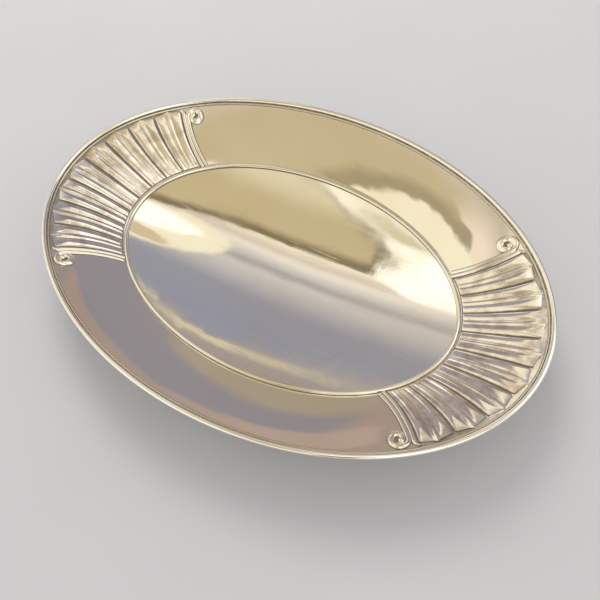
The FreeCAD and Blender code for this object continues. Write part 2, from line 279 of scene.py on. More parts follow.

# Painted shade also darkens the face round the ends of the two fans. The left end has more of it, and the middle of
# the right end has less.
LEFT_END_SHADE = 0.64
RIGHT_END_SHADE = 0.58
RIGHT_MIDDLE_SHADE = 0.30
MIDDLE_SHADE_TURN, FULL_SHADE_TURN = 12, 26
FAN_TURN, UNSHADED_TURN = 36.5, 39.5
FAN_REACH, FULL_SHADE_REACH = 0.90, 0.93

hollow = dish.verts.layers.float["hollow"]
dish.normal_update()
for vert in dish.verts:
    reach = math.hypot(vert.co.x / HALF_LENGTH, vert.co.y / HALF_WIDTH)
    turn = math.degrees(math.acos(min(1.0, abs(vert.co.x) / HALF_LENGTH / max(reach, 0.5))))
    if vert.normal.z > 0:
        right_end_shade = RIGHT_MIDDLE_SHADE + (RIGHT_END_SHADE - RIGHT_MIDDLE_SHADE) * ramp(turn, MIDDLE_SHADE_TURN, FULL_SHADE_TURN)
        end_shade = LEFT_END_SHADE if vert.co.x < 0 else right_end_shade
        painted_shade_by_fan = end_shade * ramp(reach, FAN_REACH, FULL_SHADE_REACH) * (1 - ramp(turn, FAN_TURN, UNSHADED_TURN))
        vert[hollow] = max(vert[hollow], painted_shade_by_fan)

dish_body = finished(
    dish, "salver_dish_body",
    silver("planished_sheet_silver", bright=(0.94, 0.915, 0.87), tarnish=(0.84, 0.77, 0.64), polish=0.022,
           planish=0.04, wear=1.0))
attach(dish_body, "root")
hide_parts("dish_body")


# Rim wire. A round silver wire bent to the oval of the edge and soldered on, which stiffens the thin sheet. Its outer
# side is bright from handling, and its inner side towards the channel is darkened with tarnish and painted shade.

RIM_FACETS = 28
RIM_INNER_TARNISH_AND_SHADE = 0.55
WIRE_TARNISH_AND_SHADE_FALL = 2.6


def wire_ovals(half_length, half_width, level, radius, angles):
    """The ovals of a wire through the given angles of its section, in degrees. 0 is outwards and 90 up.

    The lowest parts are given tarnish and painted shade.
    """
    ovals = []
    for angle in angles:
        outwards, upwards = math.cos(math.radians(angle)), math.sin(math.radians(angle))
        ovals.append((half_length + radius * outwards, half_width + radius * outwards, level + radius * upwards,
                      ramp(1 - WIRE_TARNISH_AND_SHADE_FALL * upwards, 0, 1)))
    return ovals


rim_angles = [360 * step / RIM_FACETS for step in range(RIM_FACETS)]
rim_ovals = wire_ovals(HALF_LENGTH - RIM_WIRE_RADIUS, HALF_WIDTH - RIM_WIRE_RADIUS, RIM_LEVEL, RIM_WIRE_RADIUS,
                       rim_angles)
# Only the inner side, towards the channel, takes tarnish and painted shade
rim_ovals = [(*oval[:3], RIM_INNER_TARNISH_AND_SHADE if 170 < angle < 230 else 0.0)
             for angle, oval in zip(rim_angles, rim_ovals)]
rim_wire = finished(
    oval_skin(rim_ovals), "salver_rim_wire",
    silver("drawn_wire_silver", bright=(0.96, 0.95, 0.93), tarnish=(0.82, 0.78, 0.70), polish=0.075,
           planish=0.012, wear=1.3))
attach(rim_wire, "root")
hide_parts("rim_wire")


# Rim reed. A fine half-round wire soldered on the face just inside the rim wire. A cloth hardly reaches it, so it is
# duller than the rim, and its darker colour also holds painted shade; the narrow channel between the two is darkened
# with tarnish and painted shade.

HALF_ROUND_FACETS = 16
SUNK_BELOW = 28
REED_RADIUS = 0.8
REED_INSET = 3.6
REED_LEAN = 20
REED_SHARE = 1 - 2 * REED_INSET / (HALF_LENGTH - WELL_HALF_LENGTH + HALF_WIDTH - WELL_HALF_WIDTH)


def half_round(lean):
    """The angles of a half-round section whose flat side leans inwards, a little sunk in the sheet."""
    first, last = lean - SUNK_BELOW, lean + 180 + SUNK_BELOW
    return [first + (last - first) * step / HALF_ROUND_FACETS for step in range(HALF_ROUND_FACETS + 1)]


# The reed's darker colours are partly tarnish and partly painted shade of the channel
rim_reed = finished(
    oval_skin(wire_ovals(HALF_LENGTH - REED_INSET, HALF_WIDTH - REED_INSET, border_oval(REED_SHARE)[2],
                         REED_RADIUS, half_round(REED_LEAN))),
    "salver_rim_reed",
    silver("reed_silver_with_painted_shade", bright=(0.70, 0.64, 0.57), tarnish=(0.56, 0.48, 0.38), polish=0.12, planish=0.01,
           wear=1.0))
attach(rim_reed, "root")
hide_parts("rim_reed")


# Well wire. A half-round wire laid in the corner where the well meets the border, soldered on both sides. Grey tarnish
# and painted shade lie along the two joints.

WELL_WIRE_RADIUS = 1.25
WELL_WIRE_INSET = 1.6
WELL_WIRE_LEAN = 12

well_wire = finished(
    oval_skin(wire_ovals(WELL_HALF_LENGTH - WELL_WIRE_INSET, WELL_HALF_WIDTH - WELL_WIRE_INSET, WELL_EDGE_LEVEL,
                         WELL_WIRE_RADIUS, half_round(WELL_WIRE_LEAN))),
    "salver_well_wire",
    silver("well_wire_silver", bright=(0.94, 0.915, 0.865), tarnish=(0.76, 0.69, 0.57), polish=0.095,
           planish=0.012, wear=1.1))
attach(well_wire, "root")
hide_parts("well_wire")


# Fans. A fan of eight fluted leaves at each end of the border, cast, chased and laid on the sheet. Each leaf has a
# narrow mid-rib between two rounded sides and ends in a small point. The grooves between the leaves are greyed with
# tarnish and painted shade.

LEAVES = 8
FAN_INNER_ANGLE = 34.5
FAN_OUTER_ANGLE = 38.0
FAN_CROWDING = 0.07
FAN_START = 0.5
LEAF_TIP_INSET = 5.3
LEAF_BOW = 2.2
LEAF_RELIEF_INNER = 0.85
LEAF_RELIEF_OUTER = 1.6
LEAF_GROOVE = 0.08
GROOVE_WIDTH = 0.035
SIDE_WIDTH = 0.38
FLUTE_DEPTH = 0.38
MID_RIB_HEIGHT = 0.32
MID_RIB_WIDTH = 0.155
MID_RIB_TARNISH_AND_SHADE = 0.30
FAN_ROOT = 0.7
ROOT_ROUNDING = 0.035
PAD_START = 0.74
PAD_HEIGHT = 1.06
PAD_FALL = 0.52
POINT_LENGTH = 0.6
BRACKET_DEPTH = 2.5
NOTCH_DEPTH = 1.3
NOTCH_WIDTH = 0.06
TOOL_MARK = 0.03
COLUMNS_PER_HALF_LEAF = 18
FAN_ROWS = 110
ROW_CROWDING = 0.6


def share_at(x, y):
    """The share of the border's width at which a point in plan lies, by Newton's method."""
    share = 0.5
    for _ in range(8):
        length, width, _ = border_oval(share)
        excess = (x / length) ** 2 + (y / width) ** 2 - 1
        slope = -2 * ((x / length) ** 2 * (HALF_LENGTH - WELL_HALF_LENGTH) / length
                      + (y / width) ** 2 * (HALF_WIDTH - WELL_HALF_WIDTH) / width)
        share -= excess / slope
    return share


def border_level(x, y):
    """The height of the border's face over a point in plan."""
    return border_oval(share_at(x, y))[2]


def oval_point(length, width, turn):
    """A point in plan on an oval, at a turn from the long axis in degrees."""
    return Vector((length * math.cos(math.radians(turn)), width * math.sin(math.radians(turn))))


def fan_plan(line, along):
    """A point of a fan in plan. Lines count leaves from the long axis; along is 0 at the well and 1 near the rim."""
    share = line / (LEAVES / 2)
    turn = share * (1 + FAN_CROWDING * (1 - abs(share)))
    start = oval_point(WELL_HALF_LENGTH + FAN_START, WELL_HALF_WIDTH + FAN_START, FAN_INNER_ANGLE * turn)
    end = oval_point(HALF_LENGTH - LEAF_TIP_INSET, HALF_WIDTH - LEAF_TIP_INSET, FAN_OUTER_ANGLE * turn)
    ahead = end - start
    towards_axis = Vector((ahead.y, -ahead.x)).normalized()
    return start + ahead * along + towards_axis * (LEAF_BOW * share * 4 * along * (1 - along))


def smooth_step(value, low, high):
    """0 below low and 1 above high, with a soft step between."""
    share = ramp(value, low, high)
    return share * share * (3 - 2 * share)


def quarter_round(share):
    """A quarter of a circle, which rises upright from 0 and is level at 1."""
    return math.sqrt(max(0.0, 1 - (1 - share) ** 2))


def leaf_swell(across):
    """The section of half a leaf, from its groove at 0 to the middle of the leaf at 1."""
    side = quarter_round(ramp(across, GROOVE_WIDTH, GROOVE_WIDTH + SIDE_WIDTH))
    flute = 1 - FLUTE_DEPTH * smooth_step(across, 0.48, 0.85)
    mid_rib = MID_RIB_HEIGHT * math.sqrt(max(0.0, 1 - ((1 - across) / MID_RIB_WIDTH) ** 2))
    return side * flute + mid_rib


def leaf_height(leaf, half, across, along):
    """How high a leaf stands above its grooves, in millimetres. Each half has its own tool marks, and a flat pad is
    filed on the end of the leaf, which runs back along its crests in a point."""
    crest = LEAF_RELIEF_INNER + (LEAF_RELIEF_OUTER - LEAF_RELIEF_INNER) * smooth_step(along, 0.0, 0.80)
    crest *= 1 + 0.05 * math.sin(2.4 * leaf + half)
    marks_across = 2.6 + 0.4 * math.sin(3.1 * leaf + 2 * half)
    marks = math.sin(math.tau * marks_across * across + 1.7 * leaf + half + 1.5 * along)
    marks *= TOOL_MARK * smooth_step(across, 0.10, 0.30) * (1 - smooth_step(across, 0.62, 0.84))
    pillow = crest * leaf_swell(across) + marks * smooth_step(along, 0.03, 0.25)
    pad = crest * (PAD_HEIGHT - PAD_FALL * ramp(along, PAD_START, 1) ** 1.3)

    # The lower of the two, with the edge between them rubbed round
    return (pillow + pad - math.sqrt((pillow - pad) ** 2 + 0.004)) / 2


def leaf_end(across):
    """How far the leaf's end falls short, in millimetres: a bracket pointed at the mid-rib, notched at the groove."""
    return -POINT_LENGTH + BRACKET_DEPTH * (1 - across) ** 0.45 + NOTCH_DEPTH * math.exp(-across / NOTCH_WIDTH)


def fan(side):
    """One fan, at the +X end for side 1 and at the -X end for side -1."""
    bm = bmesh.new()
    hollow = bm.verts.layers.float.new("hollow")
    columns = LEAVES * 2 * COLUMNS_PER_HALF_LEAF
    bmesh.ops.create_grid(bm, x_segments=columns, y_segments=FAN_ROWS, size=1)
    placed = []
    for vert in bm.verts:
        # Columns crowd towards the grooves and the mid-ribs, and rows towards the two ends
        half_leaves, part = divmod((vert.co.x + 1) * LEAVES, 1)
        part = (1 - math.cos(math.pi * part)) / 2
        line = (half_leaves + part) / 2 - LEAVES / 2
        across = part if half_leaves % 2 == 0 else 1 - part
        row = (vert.co.y + 1) / 2
        along = (1 - math.cos(math.pi * row)) / 2 * ROW_CROWDING + row * (1 - ROW_CROWDING)
        reach = 1 - leaf_end(across) / (HALF_LENGTH - WELL_HALF_LENGTH - LEAF_TIP_INSET)
        placed.append((half_leaves, across, along))
        plan = fan_plan(line, along * reach)
        vert.co = (plan.x, plan.y, border_level(plan.x, plan.y) - FAN_ROOT)
    roots = list(bm.verts)
    raised = bmesh.ops.extrude_face_region(bm, geom=list(bm.faces))["geom"]
    raised = [part for part in raised if isinstance(part, bmesh.types.BMVert)]
    bm.verts.ensure_lookup_table()
    for vert, (half_leaves, across, along) in zip(raised, placed):
        leaf, half = divmod(half_leaves, 2)
        foot = quarter_round(ramp(along, 0, ROOT_ROUNDING)) * 0.8 + 0.2
        vert.co.z += FAN_ROOT + LEAF_GROOVE + leaf_height(leaf + 20 * side, half, across, along) * foot
        # Tarnish and painted shade darken the grooves, the root and a line beside each mid-rib
        beside_rib = MID_RIB_TARNISH_AND_SHADE * smooth_step(across, 0.66, 0.80) * (1 - smooth_step(across, 0.84, 0.90))
        vert[hollow] = max(0.0, 1 - leaf_swell(across) * 1.13, beside_rib, 1 - along / 0.015)
    for vert in roots:
        vert[hollow] = 1.0
    bmesh.ops.scale(bm, vec=(side, 1, 1), verts=bm.verts)
    bmesh.ops.recalc_face_normals(bm, faces=bm.faces)
    return bm


fan_silver = silver("chased_leaf_silver", bright=(0.93, 0.90, 0.855), tarnish=(0.60, 0.50, 0.45), polish=0.085,
                    planish=0.012, wear=2.3, patches=130.0)
fan_right = finished(fan(1), "salver_fan_right", fan_silver, crease=60)
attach(fan_right, "root")
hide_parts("fan_right")

fan_left = finished(fan(-1), "salver_fan_left", fan_silver, crease=60)
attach(fan_left, "root")
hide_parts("fan_left")


# Scrolled straps. Two half-round ribs, cast and soldered along each side of a fan. The outer rib winds up round a
# small bead, and the inner one ends in a flick that hooks back over the fan.

RIB_RADIUS = 1.4
RIB_SPACING = 2.4
RIB_FOOT_RADIUS = 1.1
RIB_SWELL_RADIUS = 1.7
RIB_END_RADIUS = 1.35
STRAP_GAP = 0.1
STRAP_FOOT = 0.03
FLICK_START = 0.93
FLICK_REACH = 3.0
FLICK_TIP_RADIUS = 0.45
FLICK_STEPS = 12
VOLUTE_START = 0.86
VOLUTE_RADIUS = 4.7
VOLUTE_END_RADIUS = 1.3
VOLUTE_TURNS = 1.12
VOLUTE_STEPS = 80
EYE_RADIUS = 1.75
RIB_SUNK = 0.5
GROUND_THICKNESS = 0.12
RIB_SIDES = 28
SOLDER_SPREAD = 1.2
SOLDER_HEIGHT = 0.32
UNSHADED_RIB_HEIGHT = 0.975
PAINTED_SHADE_DEPTH = 0.75


def carried_rib(bm, plan, radii):
    """A round rib carried over points in plan, with its middle on the border's face and a radius at each point. Its
    foot spreads into the solder."""
    points = [Vector((point.x, point.y, border_level(point.x, point.y))) for point in plan]
    ring = bmesh.ops.create_circle(bm, segments=RIB_SIDES, radius=1, cap_ends=True)["verts"]
    for vert in ring:
        vert.co.x *= 1 + SOLDER_SPREAD * max(0.0, SOLDER_HEIGHT - vert.co.y)
    edges = list({edge for vert in ring for edge in vert.link_edges})
    held = Matrix.Identity(4)
    for index, (point, radius) in enumerate(zip(points, radii)):
        if index:
            ring, edges = drawn_on(bm, edges)
        ahead = (points[min(index + 1, len(points) - 1)] - points[max(index - 1, 0)]).normalized()
        sideways = ahead.cross(Vector((0, 0, 1))).normalized()
        turned = Matrix((sideways, ahead.cross(-sideways), ahead)).transposed().to_4x4()
        place = Matrix.Translation(point) @ turned @ Matrix.Scale(radius, 4)
        bmesh.ops.transform(bm, matrix=place @ held.inverted(), verts=ring)
        held = place
    bmesh.ops.contextual_create(bm, geom=edges)


def strap_point(along, offset):
    """A point beside the fan's edge in plan, with the directions along it and away from the fan."""
    ahead = (fan_plan(LEAVES / 2, along + 0.01) - fan_plan(LEAVES / 2, along - 0.01)).normalized()
    outward = Vector((-ahead.y, ahead.x))
    return fan_plan(LEAVES / 2, along) + outward * offset, ahead, outward


def strap_run(offset, end, steps):
    """Points in plan along the strap, and the radii of its rib, which is slimmer at the well."""
    plan = [strap_point(-STRAP_FOOT + (end + STRAP_FOOT) * step / steps, offset)[0] for step in range(steps + 1)]
    radii = [RIB_FOOT_RADIUS + (RIB_RADIUS - RIB_FOOT_RADIUS) * step / steps for step in range(steps + 1)]
    return plan, radii


def strap(side, back):
    """One strap, at the end of the dish and on the side of the long axis given by two signs."""
    bm = bmesh.new()
    hollow = bm.verts.layers.float.new("hollow")
    inner_offset = STRAP_GAP + RIB_RADIUS
    outer_offset = inner_offset + RIB_SPACING

    # The inner rib, with its flick
    plan, radii = strap_run(inner_offset, FLICK_START, 38)
    _, ahead, outward = strap_point(FLICK_START, inner_offset)
    hook = plan[-1] - outward * FLICK_REACH
    for step in range(1, FLICK_STEPS + 1):
        share = step / FLICK_STEPS
        angle = math.radians(90 * share)
        plan.append(hook + outward * (FLICK_REACH * math.cos(angle)) + ahead * (0.92 * FLICK_REACH * math.sin(angle)))
        radii.append(RIB_RADIUS + (FLICK_TIP_RADIUS - RIB_RADIUS) * share ** 1.3)
    carried_rib(bm, plan, radii)

    # The outer rib, with its volute
    plan, radii = strap_run(outer_offset, VOLUTE_START, 36)
    _, ahead, outward = strap_point(VOLUTE_START, outer_offset)
    middle = plan[-1] + outward * VOLUTE_RADIUS
    for step in range(1, VOLUTE_STEPS + 1):
        share = step / VOLUTE_STEPS
        angle = math.tau * VOLUTE_TURNS * share
        reach = VOLUTE_RADIUS + (VOLUTE_END_RADIUS - VOLUTE_RADIUS) * share ** 1.8
        plan.append(middle - outward * (reach * math.cos(angle)) + ahead * (reach * math.sin(angle)))
        swell = smooth_step(share, 0.0, 0.35)
        radii.append(RIB_RADIUS + (RIB_SWELL_RADIUS - RIB_RADIUS) * swell
                     + (RIB_END_RADIUS - RIB_SWELL_RADIUS) * smooth_step(share, 0.45, 1.0))
    carried_rib(bm, plan, radii)

    # The bead in its eye, and the thin ground inside the volute
    bead = bmesh.ops.create_uvsphere(bm, u_segments=24, v_segments=16, radius=EYE_RADIUS)["verts"]
    bmesh.ops.translate(bm, vec=(*plan[-1], border_level(*plan[-1])), verts=bead)
    ground = bmesh.ops.create_circle(bm, segments=48, radius=VOLUTE_RADIUS, cap_ends=True, cap_tris=True)["verts"]
    for vert in ground:
        vert.co.x, vert.co.y = vert.co.x + middle.x, vert.co.y + middle.y
        vert.co.z = border_level(vert.co.x, vert.co.y) + GROUND_THICKNESS
    flats = list({face for vert in ground for face in vert.link_faces})
    lower = bmesh.ops.extrude_face_region(bm, geom=flats)["geom"]
    lower = [part for part in lower if isinstance(part, bmesh.types.BMVert)]
    bmesh.ops.translate(bm, vec=(0, 0, -RIB_SUNK), verts=lower)

    bmesh.ops.scale(bm, vec=(side, back, 1), verts=bm.verts)
    bmesh.ops.recalc_face_normals(bm, faces=bm.faces)
    # Painted shade darkens the lower sides of the ribs and the solder at their feet, most against the border
    for vert in bm.verts:
        level = border_level(vert.co.x, vert.co.y)
        vert[hollow] = 1 - ramp(vert.co.z - level, UNSHADED_RIB_HEIGHT - PAINTED_SHADE_DEPTH, UNSHADED_RIB_HEIGHT)
        vert.co.z = max(vert.co.z, level - RIB_SUNK)
    return bm


strap_silver = silver("cast_strap_silver", bright=(0.94, 0.91, 0.86), tarnish=(0.74, 0.67, 0.56), polish=0.08,
                      planish=0.006, wear=1.2)
for end, side in (("right", 1), ("left", -1)):
    for flank, back in (("back", 1), ("front", -1)):
        scroll = finished(strap(side, back), "salver_scroll_%s_%s" % (end, flank), strap_silver, crease=50)
        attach(scroll, "root")
        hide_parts("scroll_%s_%s" % (end, flank))


# Foot collar. A strip of sheet silver bent to an oval and flared, soldered upright under the well. The torch
# has left it a little duller than the face.

FOOT_HALF_LENGTH, FOOT_HALF_WIDTH, FOOT_WIRE_HEIGHT = box_mm("foot_wire")[1]
FOOT_WALL = 1.4
FOOT_LEAN = 2.4
FOOT_FLARE = 0.56
FOOT_WIRE_WIDTH = 3.6
COLLAR_STEPS = 16
COLLAR_SUNK = 0.2
COLLAR_TOP = 11.5


def collar_oval(share, inset, tarnish_shade):
    """An oval of the collar at a share of its height, at a distance in from its outside, and its tarnish and painted
    shade.
    """
    flare = (1 - (1 - FOOT_FLARE * share) ** 2) / (1 - (1 - FOOT_FLARE) ** 2)
    inward = (FOOT_WIRE_WIDTH - FOOT_WALL) / 2 + FOOT_LEAN * flare + inset
    bottom = FOOT_WIRE_HEIGHT - COLLAR_SUNK
    return FOOT_HALF_LENGTH - inward, FOOT_HALF_WIDTH - inward, bottom + share * (COLLAR_TOP - bottom), tarnish_shade


# Up the outside, where only the two joints take tarnish and painted shade, and down the inside, which is darkened with
# tarnish and painted shade all over
outside = [collar_oval(step / COLLAR_STEPS, 0, 0.75 * max(0.0, 1 - step / 1.5, 1 - (COLLAR_STEPS - step) / 2))
           for step in range(COLLAR_STEPS + 1)]
inside = [collar_oval(1 - step / COLLAR_STEPS, FOOT_WALL,
                      0.3 + 0.5 * max(0.0, 1 - step / 2, 1 - (COLLAR_STEPS - step) / 1.5))
          for step in range(COLLAR_STEPS + 1)]
foot_collar = finished(
    oval_skin(outside + inside), "salver_foot_collar",
    silver("flared_strip_silver", bright=(0.93, 0.90, 0.85), tarnish=(0.80, 0.73, 0.61), polish=0.13, planish=0.03,
           wear=1.1))
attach(foot_collar, "root")
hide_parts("foot_collar")


# Solder seams. A thin fillet of silver solder runs round the collar on both sides, where it meets the underside
# of the well. Solder is paler and greyer than the sheet and is never quite even.

# Round the section of a seam: how far out from the collar each point is, and how far below the sheet
SEAM_SECTION = ((-0.3, 1.25), (0.06, 1.1), (0.16, 0.62), (0.42, 0.24), (0.95, -0.02), (1.2, -0.35), (-0.3, -0.4))
SEAM_SHARE = 0.97
# The seams take tarnish and painted shade all over
SEAM_TARNISH_AND_SHADE = 0.55


def seam(inset, direction):
    """A small concave fillet between the collar and the underside, outside it (1) or inside it (-1)."""
    ovals = []
    length, width, _, _ = collar_oval(SEAM_SHARE, inset, 0)
    for out, drop in SEAM_SECTION:
        reach = direction * out
        level = well_oval((length + reach) / WELL_HALF_LENGTH)[2] - SHEET
        ovals.append((length + reach, width + reach, level - drop, SEAM_TARNISH_AND_SHADE))
    return ovals


solder = silver("silver_solder", bright=(0.86, 0.85, 0.82), tarnish=(0.66, 0.63, 0.56), polish=0.24, planish=0.05,
                wear=1.0)
for name, inset, direction in (("outer", 0.0, 1), ("inner", FOOT_WALL, -1)):
    fillet = finished(oval_skin(seam(inset, direction)), "salver_solder_%s" % name, solder, crease=70)
    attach(fillet, "root")


# Foot wire. The flat wire that the dish stands on, soldered under the collar. Its upper edges are rounded, and its
# base is rubbed grey and scratched by the table.

FOOT_WIRE_ROUNDING = 0.7
ROUNDING_STEPS = 6
BASE_ROUNDING = 0.2
BASE_CORNER = 0.3 * BASE_ROUNDING
TOP_TARNISH_AND_SHADE = 0.5

# The section as distances inwards and upwards: along the base, up the inside, over the top and down the outside
wire_section = [(0.0, BASE_ROUNDING), (BASE_CORNER, BASE_CORNER), (BASE_ROUNDING, 0.0), (FOOT_WIRE_WIDTH / 2, 0.0),
                (FOOT_WIRE_WIDTH - BASE_ROUNDING, 0.0), (FOOT_WIRE_WIDTH - BASE_CORNER, BASE_CORNER),
                (FOOT_WIRE_WIDTH, BASE_ROUNDING)]
for step in range(ROUNDING_STEPS + 1):
    angle = math.radians(90 * step / ROUNDING_STEPS)
    wire_section.append((FOOT_WIRE_WIDTH - FOOT_WIRE_ROUNDING * (1 - math.cos(angle)),
                         FOOT_WIRE_HEIGHT - FOOT_WIRE_ROUNDING * (1 - math.sin(angle))))
for inward, level in reversed(wire_section[-ROUNDING_STEPS - 1:]):
    wire_section.append((FOOT_WIRE_WIDTH - inward, level))
# The top, where the collar stands on it, takes tarnish and painted shade
foot_wire = finished(
    oval_skin([(FOOT_HALF_LENGTH - inward, FOOT_HALF_WIDTH - inward, level,
                TOP_TARNISH_AND_SHADE if level > 0.97 * FOOT_WIRE_HEIGHT else 0.0) for inward, level in wire_section]),
    "salver_foot_wire",
    silver("foot_wire_silver", bright=(0.93, 0.905, 0.86), tarnish=(0.78, 0.72, 0.61), polish=0.16, planish=0.02,
           wear=1.8), crease=50)
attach(foot_wire, "root")
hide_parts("foot_wire")


# Floor. A plain pale sheet of paper that the dish stands on, much wider than the dish. It has nothing on it but a
# faint mottle, and is matt, so that it keeps the dish's shadow and shows no reflection.

FLOOR_RADIUS = 4

floor_bm = bmesh.new()
bmesh.ops.create_circle(floor_bm, segments=96, radius=FLOOR_RADIUS, cap_ends=True)
floor_mesh = bpy.data.meshes.new("floor")
floor_bm.to_mesh(floor_mesh)
floor_bm.free()
floor = bpy.data.objects.new("floor", floor_mesh)
bpy.context.scene.collection.objects.link(floor)
paper = bpy.data.materials.new("pale_paper")
sheet = Finish(paper)
mottle = sheet.blend(sheet.cloud(scale=9.0, detail=3.0), (0.60, 0.59, 0.585, 1), (0.64, 0.63, 0.625, 1))
paper_shader = sheet.node("ShaderNodeBsdfPrincipled", {}, {
    "Base Color": mottle, "Roughness": 0.85, "Specular IOR Level": 0.2})
sheet.node("ShaderNodeOutputMaterial", {}, {"Surface": paper_shader})
floor_mesh.materials.append(paper)


# Light. A pale room for the silver to show: tan walls and a cream bay on the near side, a grey far side with shelves,
# a dark doorway to the right, and daylight to the left, behind and low down all round. The floor takes an even white
# light, and one wide lamp throws the shadow.

TAN_WALL = (0.60, 0.495, 0.29, 1)
CREAM_BAY = (0.99, 0.90, 0.66, 1)
BROWN_FRAME = (0.24, 0.185, 0.105, 1)
PALE_SILL = (0.95, 0.80, 0.62, 1)
GREY_SIDE = (0.38, 0.345, 0.36, 1)
DAYLIGHT = (1.30, 1.24, 1.08, 1)
STREAK_EDGE = (0.52, 0.45, 0.28, 1)
STREAK = (0.70, 0.62, 0.40, 1)
TAN_KNOB = (0.68, 0.56, 0.36, 1)
SHELF_SHADE = (0.40, 0.34, 0.31, 1)
SHELF_FRONT = (0.68, 0.60, 0.43, 1)
SHELF_LINE = (0.50, 0.42, 0.36, 1)
BROWN_CHEST = (0.40, 0.31, 0.27, 1)
BROWN_SHADE = (0.41, 0.345, 0.265, 1)
BROWN_SPOT = (0.47, 0.365, 0.31, 1)
DARK_DOORWAY = (0.30, 0.23, 0.17, 1)
EVEN_WHITE = (0.80, 0.80, 0.81, 1)
BACKDROP = (0.62, 0.61, 0.605, 1)

world = bpy.data.worlds.new("room")
bpy.context.scene.world = world
room = Finish(world)
towards = room.node("ShaderNodeTexCoord", {}, {}, "Generated")
sway = room.node("ShaderNodeTexNoise", {}, {"Vector": towards, "Scale": 9.0, "Detail": 3.0}) - 0.5
straight_x = room.node("ShaderNodeSeparateXYZ", {}, {"Vector": towards}, "X")
straight_y = room.node("ShaderNodeSeparateXYZ", {}, {"Vector": towards}, "Y")
x, y = straight_x + sway * 0.012, straight_y + sway * 0.035
z = room.node("ShaderNodeSeparateXYZ", {}, {"Vector": towards}, "Z")


def between(amount, rise, fall):
    """1 between the soft steps of a rise and a fall, and 0 outside them."""
    return room.band(amount, *rise) * (1 - room.band(amount, *fall))


def patch(middle, half, soft, lean=0.0):
    """1 inside an oval patch of the room and 0 outside it."""
    off_x = (x - middle[0] + (y - middle[1]) * lean) * (1 / half[0])
    off_y = (y - middle[1]) * (1 / half[1])
    return 1 - room.band(off_x * off_x + off_y * off_y, 1 - soft, 1 + soft)


# The walls, from the near side at 0 to the far side at 1
walls = room.node("ShaderNodeValToRGB", {"stops": [
    # Tan walls and a pale strip on the near side
    (0.00, (0.52, 0.43, 0.30)), (0.30, (0.62, 0.52, 0.32)), (0.44, (0.60, 0.50, 0.31)),
    (0.485, (0.66, 0.56, 0.42)), (0.52, (0.58, 0.50, 0.38)),
    # The cream bay overhead, with narrow lines of shade where it ends
    (0.555, (0.98, 0.89, 0.66)), (0.66, (0.98, 0.89, 0.66)), (0.675, (0.72, 0.60, 0.50)),
    (0.685, (0.92, 0.84, 0.70)), (0.70, (0.62, 0.58, 0.54)), (0.708, (0.42, 0.38, 0.36)),
    (0.716, (0.66, 0.61, 0.57)), (0.735, (0.52, 0.49, 0.48)),
    # The blue-grey far side, with one brown line and a brown foot
    (0.755, (0.33, 0.33, 0.375)), (0.80, (0.315, 0.32, 0.39)), (0.825, (0.33, 0.325, 0.37)),
    (0.845, (0.36, 0.285, 0.25)), (0.885, (0.295, 0.28, 0.31)), (0.94, (0.30, 0.28, 0.305)),
    (1.00, (0.42, 0.32, 0.24))]}, {0: (y + 1) * 0.5}, "Color")

# On the near side, a slanting brown frame over a pale sill, and the cream bay beyond its slant
near = 1 - room.band(y, 0.02, 0.09)
slant = x * 0.81 + y * 0.59 + 0.53 + sway * 0.08
ledge = y + room.band(x, -0.56, -0.52) * 0.03
brown = near * (1 - room.band(slant, 0.02, 0.10)) * (1 - room.band(ledge, -0.088, -0.072))
colour = room.blend(brown * 0.5, walls, BROWN_FRAME)
sill = room.band(ledge, -0.088, -0.072) * (1 - room.band(y, -0.04, 0.07)) * (1 - room.band(x, -0.58, -0.44))
colour = room.blend(sill, colour, PALE_SILL)
colour = room.blend(near * (1 - room.band(slant, -0.017, 0.003)), colour, CREAM_BAY)

# Overhead, a tan oval with a brown edge, sunlight round it and cream light below it
sunlit = patch((-0.29, 0.30), (0.105, 0.240), 0.10)
sunlit = sunlit * (1 - room.band(y, 0.22, 0.28)) * (1 - room.band(x, -0.335, -0.305))
colour = room.blend(sunlit * 0.75, colour, DAYLIGHT)
above = y - room.band(x, -0.335, -0.24) * 0.07
edge = patch((-0.29, 0.30), (0.094, 0.215), 0.03) * (1 - room.band(above, 0.316, 0.322))
colour = room.blend(edge, colour, BROWN_FRAME)
oval = patch((-0.29, 0.30), (0.089, 0.206), 0.06) * (1 - room.band(above, 0.280, 0.308))
colour = room.blend(oval, colour, TAN_WALL)
lit_below = between(y, (0.04, 0.10), (0.12, 0.21)) * between(x, (-0.42, -0.39), (-0.25, -0.22))
colour = room.blend(lit_below * 0.5, colour, CREAM_BAY)

# A thin streak on the cream, a cream patch with a tan knob, and two panes of daylight
for middle, half, soft, lean, shade in (
        ((-0.374, 0.166), (0.0055, 0.040), 0.20, 0.3, STREAK_EDGE),
        ((-0.374, 0.166), (0.0045, 0.034), 0.30, 0.3, STREAK),
        ((-0.300, 0.425), (0.033, 0.068), 0.20, 0.0, CREAM_BAY),
        ((-0.302, 0.466), (0.016, 0.016), 0.40, 0.3, TAN_KNOB),
        ((-0.285, 0.406), (0.030, 0.036), 0.20, 0.0, DAYLIGHT),
        ((-0.405, 0.285), (0.022, 0.080), 0.15, 0.0, DAYLIGHT)):
    colour = room.blend(patch(middle, half, soft, lean), colour, shade)
colour = room.blend(room.band(x, -0.58, -0.68) * room.band(y, 0.12, 0.24), colour, GREY_SIDE)

